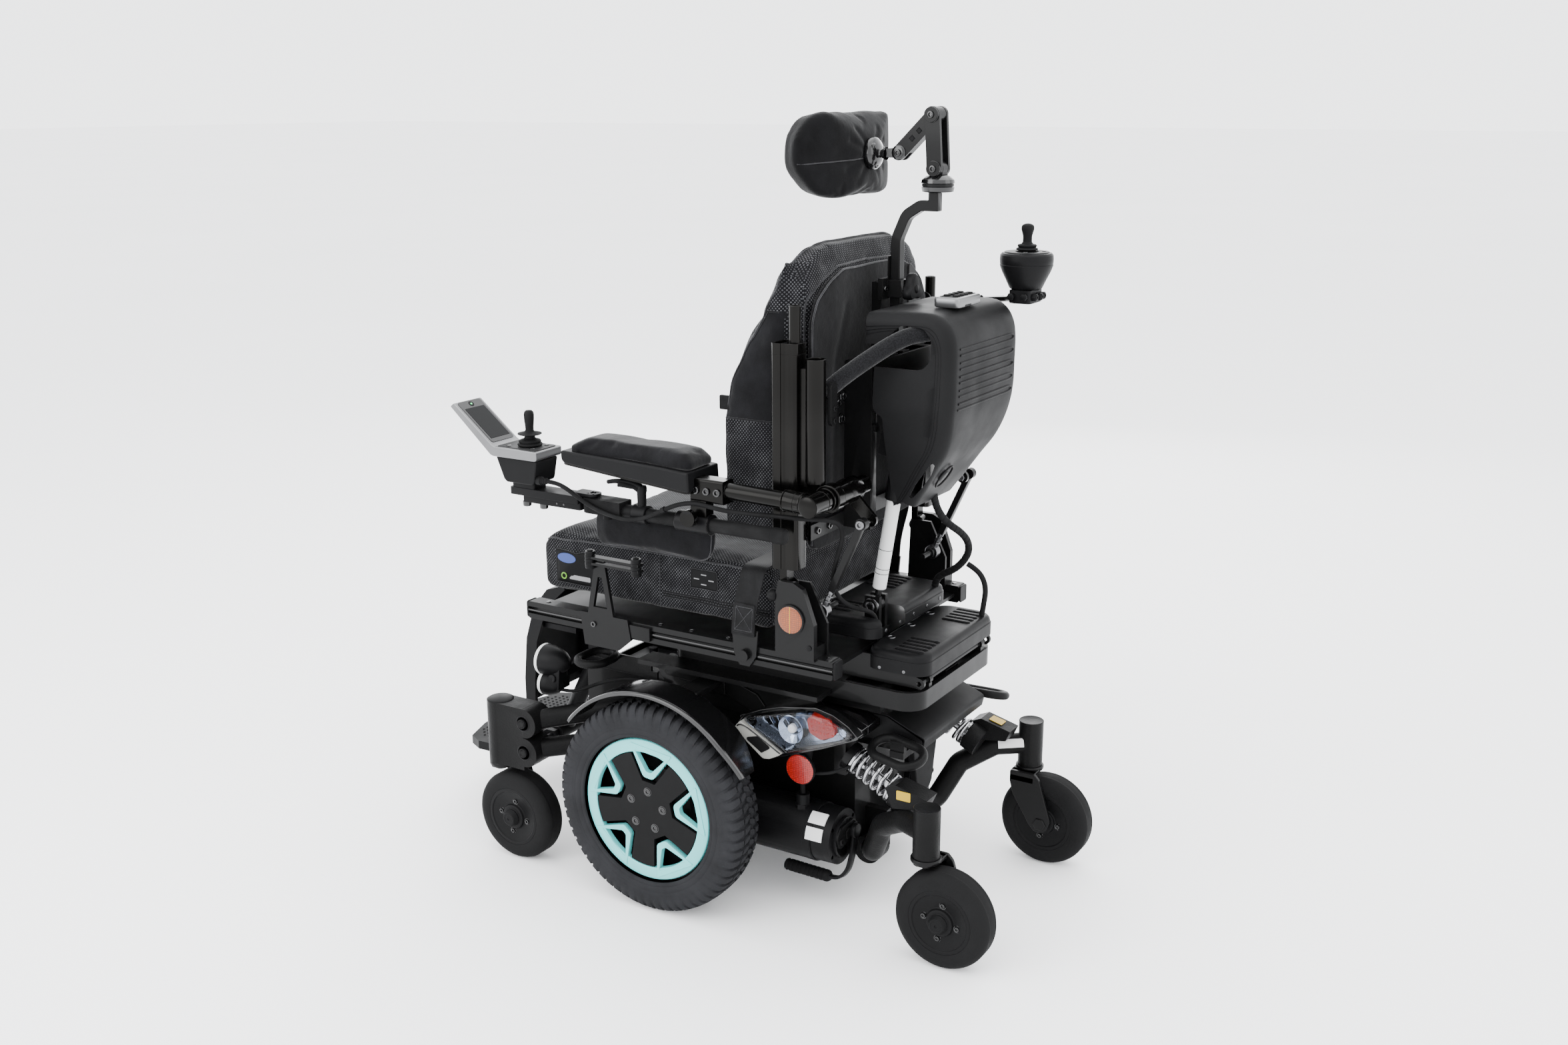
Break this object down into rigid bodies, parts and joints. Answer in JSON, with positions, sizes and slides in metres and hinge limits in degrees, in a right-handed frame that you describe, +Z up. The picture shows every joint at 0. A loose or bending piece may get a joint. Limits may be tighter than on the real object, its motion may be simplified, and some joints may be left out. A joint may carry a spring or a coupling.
{
  "type": "power wheelchair",
  "caption": "Centre-drive power wheelchair with six wheels, sprung caster arms, a tilting seat, a reclining back, lift-up armrests, a head support and a joystick.",
  "frame": {"origin": "on the floor, midway between the two drive wheels, under their axle", "axes": "+Z up, the chair faces -Y, the user's left is +X"},
  "size_m": [0.6136, 1.121, 1.272],
  "materials": {
    "frame_black": "satin powder coat",
    "anodised_black": "gloss anodised",
    "tyre": "matt",
    "rim_cover": "gloss",
    "rim_black": "satin",
    "shroud": "matt, fine texture",
    "grip_black": "matt",
    "lamp_glass": "clear",
    "seat_fabric": "spacer mesh",
    "pad_fabric": "stretch fabric",
    "webbing": "woven",
    "foam_grip": "foam sleeve",
    "panel": "matt",
    "spring_steel": "bright",
    "white_tube": "satin",
    "battery_case": "matt",
    "motor_black": "satin paint",
    "cable": "matt",
    "foot_plastic": "moulded grid"
  },
  "bodies": {
    "base": {"chassis_frame": "frame_black", "base_covers": "shroud", "batteries": "battery_case", "lamps": "lamp_glass", "drive_motors": "motor_black", "tie_down_loops": "frame_black", "rear_springs": "spring_steel"},
    "tilt_carriage": {"tilt_carriage": "frame_black"},
    "seat": {"seat_frame": "frame_black", "seat_cushion": "seat_fabric", "seat_rear_covers": "panel", "lap_belt": "webbing", "thigh_pads": "pad_fabric", "rear_harness": "cable", "seat_cable": "cable"},
    "backrest": {"back_frame": "anodised_black", "back_shell": "panel", "back_cushion": "seat_fabric", "back_shroud": "shroud", "push_handle": "foam_grip", "attendant_control": "panel"},
    "arm_crank": {"arm_crank": "anodised_black"},
    "arm_rods": {"arm_rods": "frame_black"},
    "recline_rod": {"recline_rod": "white_tube"},
    "recline_actuator": {"recline_actuator": "motor_black"},
    "armrest_left": {"armrest_left": "anodised_black", "arm_pad_left": "pad_fabric", "joystick_cable": "cable"},
    "armrest_right": {"armrest_right": "anodised_black", "arm_pad_right": "pad_fabric"},
    "joystick_mount": {"joystick_mount": "anodised_black"},
    "joystick_housing": {"joystick_housing": "panel"},
    "joystick_stick": {"joystick_stick": "grip_black"},
    "attendant_stick": {"attendant_stick": "grip_black"},
    "headrest_post": {"headrest_post": "frame_black"},
    "headrest_lower_link": {"headrest_lower_link": "frame_black"},
    "headrest_upper_link": {"headrest_upper_link": "frame_black"},
    "headrest_pad": {"headrest_pad": "pad_fabric"},
    "legrest": {"legrest": "foot_plastic"},
    "footplate": {"footplate": "foot_plastic"},
    "drive_wheel_left": {"drive_tyre_left": "tyre", "drive_rim_left": "rim_black", "rim_cover_left": "rim_cover"},
    "rear_arm_left": {"rear_arm_left": "frame_black"},
    "front_arm_left": {"front_arm_left": "frame_black"},
    "freewheel_lever_left": {"freewheel_lever_left": "grip_black"},
    "caster_fork_front_left": {"caster_fork_front_left": "frame_black"},
    "caster_wheel_front_left": {"caster_wheel_front_left": "tyre"},
    "caster_fork_rear_left": {"caster_fork_rear_left": "frame_black"},
    "caster_wheel_rear_left": {"caster_wheel_rear_left": "tyre"},
    "drive_wheel_right": {"drive_tyre_right": "tyre", "drive_rim_right": "rim_black", "rim_cover_right": "rim_cover"},
    "rear_arm_right": {"rear_arm_right": "frame_black"},
    "front_arm_right": {"front_arm_right": "frame_black"},
    "freewheel_lever_right": {"freewheel_lever_right": "grip_black"},
    "caster_fork_front_right": {"caster_fork_front_right": "frame_black"},
    "caster_wheel_front_right": {"caster_wheel_front_right": "tyre"},
    "caster_fork_rear_right": {"caster_fork_rear_right": "frame_black"},
    "caster_wheel_rear_right": {"caster_wheel_rear_right": "tyre"}
  },
  "joints": [
    {"name": "drive_wheel_left_spin", "type": "hinge", "parent": "base", "child": "drive_wheel_left", "pos_m": [0.2688, 0, 0.178], "axis": [-1, 0, 0], "continuous": true},
    {"name": "rear_arm_left_swing", "type": "hinge", "parent": "base", "child": "rear_arm_left", "pos_m": [0.073, 0.29, 0.092], "axis": [-1, 0, 0], "range_deg": [-5, 5], "deforming": ["rear_springs"]},
    {"name": "front_arm_left_swing", "type": "hinge", "parent": "base", "child": "front_arm_left", "pos_m": [0.129, -0.11, 0.262], "axis": [-1, 0, 0], "range_deg": [-6, 6]},
    {"name": "freewheel_lever_left_turn", "type": "hinge", "parent": "base", "child": "freewheel_lever_left", "pos_m": [0.126, 0.287, 0.141], "axis": [0, -1, 0], "range_deg": [0, 25]},
    {"name": "caster_front_left_swivel", "type": "hinge", "parent": "front_arm_left", "child": "caster_fork_front_left", "pos_m": [0.25, -0.343, 0.172], "axis": [0, 0, 1], "continuous": true},
    {"name": "caster_front_left_spin", "type": "hinge", "parent": "caster_fork_front_left", "child": "caster_wheel_front_left", "pos_m": [0.25, -0.308, 0.079], "axis": [-1, 0, 0], "continuous": true},
    {"name": "caster_rear_left_swivel", "type": "hinge", "parent": "rear_arm_left", "child": "caster_fork_rear_left", "pos_m": [0.202, 0.451, 0.172], "axis": [0, 0, 1], "continuous": true},
    {"name": "caster_rear_left_spin", "type": "hinge", "parent": "caster_fork_rear_left", "child": "caster_wheel_rear_left", "pos_m": [0.202, 0.486, 0.079], "axis": [-1, 0, 0], "continuous": true},
    {"name": "drive_wheel_right_spin", "type": "hinge", "parent": "base", "child": "drive_wheel_right", "pos_m": [-0.2688, 0, 0.178], "axis": [-1, 0, 0], "continuous": true},
    {"name": "rear_arm_right_swing", "type": "hinge", "parent": "base", "child": "rear_arm_right", "pos_m": [-0.073, 0.29, 0.092], "axis": [-1, 0, 0], "range_deg": [-5, 5], "deforming": ["rear_springs"]},
    {"name": "front_arm_right_swing", "type": "hinge", "parent": "base", "child": "front_arm_right", "pos_m": [-0.129, -0.11, 0.262], "axis": [-1, 0, 0], "range_deg": [-6, 6]},
    {"name": "freewheel_lever_right_turn", "type": "hinge", "parent": "base", "child": "freewheel_lever_right", "pos_m": [-0.126, 0.287, 0.141], "axis": [0, 1, 0], "range_deg": [0, 25]},
    {"name": "caster_front_right_swivel", "type": "hinge", "parent": "front_arm_right", "child": "caster_fork_front_right", "pos_m": [-0.25, -0.343, 0.172], "axis": [0, 0, 1], "continuous": true},
    {"name": "caster_front_right_spin", "type": "hinge", "parent": "caster_fork_front_right", "child": "caster_wheel_front_right", "pos_m": [-0.25, -0.308, 0.079], "axis": [-1, 0, 0], "continuous": true},
    {"name": "caster_rear_right_swivel", "type": "hinge", "parent": "rear_arm_right", "child": "caster_fork_rear_right", "pos_m": [-0.202, 0.451, 0.172], "axis": [0, 0, 1], "continuous": true},
    {"name": "caster_rear_right_spin", "type": "hinge", "parent": "caster_fork_rear_right", "child": "caster_wheel_rear_right", "pos_m": [-0.202, 0.486, 0.079], "axis": [-1, 0, 0], "continuous": true},
    {"name": "seat_tilt", "type": "hinge", "parent": "tilt_carriage", "child": "seat", "pos_m": [0, 0.395, 0.413], "axis": [-1, 0, 0], "range_deg": [0, 45]},
    {"name": "tilt_slide", "type": "slide", "parent": "base", "child": "tilt_carriage", "axis": [0, -1, 0], "range_m": [0, 0.151]},
    {"name": "back_recline", "type": "hinge", "parent": "seat", "child": "backrest", "pos_m": [0, 0.222, 0.568], "axis": [-1, 0, 0], "range_deg": [0, 30], "deforming": ["rear_harness", "seat_cable"]},
    {"name": "arm_crank_turn", "type": "hinge", "parent": "backrest", "child": "arm_crank", "pos_m": [0, 0.288, 0.714], "axis": [-1, 0, 0], "range_deg": [-30, 0]},
    {"name": "arm_rods_turn", "type": "hinge", "parent": "seat", "child": "arm_rods", "pos_m": [0, 0.262, 0.528], "axis": [-1, 0, 0], "range_deg": [0, 30]},
    {"name": "recline_rod_turn", "type": "hinge", "parent": "seat", "child": "recline_rod", "pos_m": [0, 0.288, 0.51], "axis": [-1, 0, 0], "range_deg": [0, 27.2]},
    {"name": "recline_actuator_stroke", "type": "slide", "parent": "recline_rod", "child": "recline_actuator", "axis": [0, -0.16, -0.9871], "range_m": [0, 0.0434]},
    {"name": "armrest_left_lift", "type": "hinge", "parent": "arm_crank", "child": "armrest_left", "pos_m": [0.262, 0.288, 0.714], "axis": [-1, 0, 0], "range_deg": [0, 45], "deforming": ["joystick_cable"]},
    {"name": "armrest_right_lift", "type": "hinge", "parent": "arm_crank", "child": "armrest_right", "pos_m": [-0.262, 0.288, 0.714], "axis": [-1, 0, 0], "range_deg": [0, 45]},
    {"name": "joystick_reach", "type": "slide", "parent": "armrest_left", "child": "joystick_mount", "axis": [0, -1, 0], "range_m": [-0.02, 0.06]},
    {"name": "joystick_swing", "type": "hinge", "parent": "joystick_mount", "child": "joystick_housing", "pos_m": [0.272, -0.108, 0.666], "axis": [0, 0, 1], "range_deg": [0, 90]},
    {"name": "joystick_tilt", "type": "hinge", "parent": "joystick_housing", "child": "joystick_stick", "pos_m": [0.272, -0.233, 0.724], "axis": [1, 0, 0], "range_deg": [-14, 14], "stiffness_Nm_per_rad": 0.4},
    {"name": "attendant_tilt", "type": "hinge", "parent": "backrest", "child": "attendant_stick", "pos_m": [-0.15, 0.432, 1.04], "axis": [1, 0, 0], "range_deg": [-14, 14], "stiffness_Nm_per_rad": 0.4},
    {"name": "headrest_height", "type": "slide", "parent": "backrest", "child": "headrest_post", "axis": [0, 0, 1], "range_m": [0, 0.1]},
    {"name": "headrest_base_turn", "type": "hinge", "parent": "headrest_post", "child": "headrest_lower_link", "pos_m": [0, 0.348, 1.182], "axis": [-1, 0, 0], "range_deg": [-2, 20]},
    {"name": "headrest_elbow_turn", "type": "hinge", "parent": "headrest_lower_link", "child": "headrest_upper_link", "pos_m": [0, 0.343, 1.26], "axis": [-1, 0, 0], "range_deg": [-3, 25]},
    {"name": "headrest_pad_turn", "type": "hinge", "parent": "headrest_upper_link", "child": "headrest_pad", "pos_m": [0, 0.286, 1.204], "axis": [-1, 0, 0], "range_deg": [-5, 15]},
    {"name": "legrest_lift", "type": "hinge", "parent": "seat", "child": "legrest", "pos_m": [0, -0.303, 0.44], "axis": [-1, 0, 0], "range_deg": [0, 65]},
    {"name": "footplate_turn", "type": "hinge", "parent": "legrest", "child": "footplate", "pos_m": [0, -0.405, 0.128], "axis": [-1, 0, 0], "range_deg": [0, 45]}
  ],
  "couplings": [
    {"joint": "tilt_slide", "follows": "seat_tilt", "m_per_rad": 0.19099},
    {"joint": "arm_crank_turn", "follows": "back_recline", "ratio": -1},
    {"joint": "arm_rods_turn", "follows": "back_recline", "ratio": 1},
    {"joint": "recline_rod_turn", "follows": "back_recline", "ratio": 0.898},
    {"joint": "recline_actuator_stroke", "follows": "back_recline", "m_per_rad": 0.0823}
  ]
}
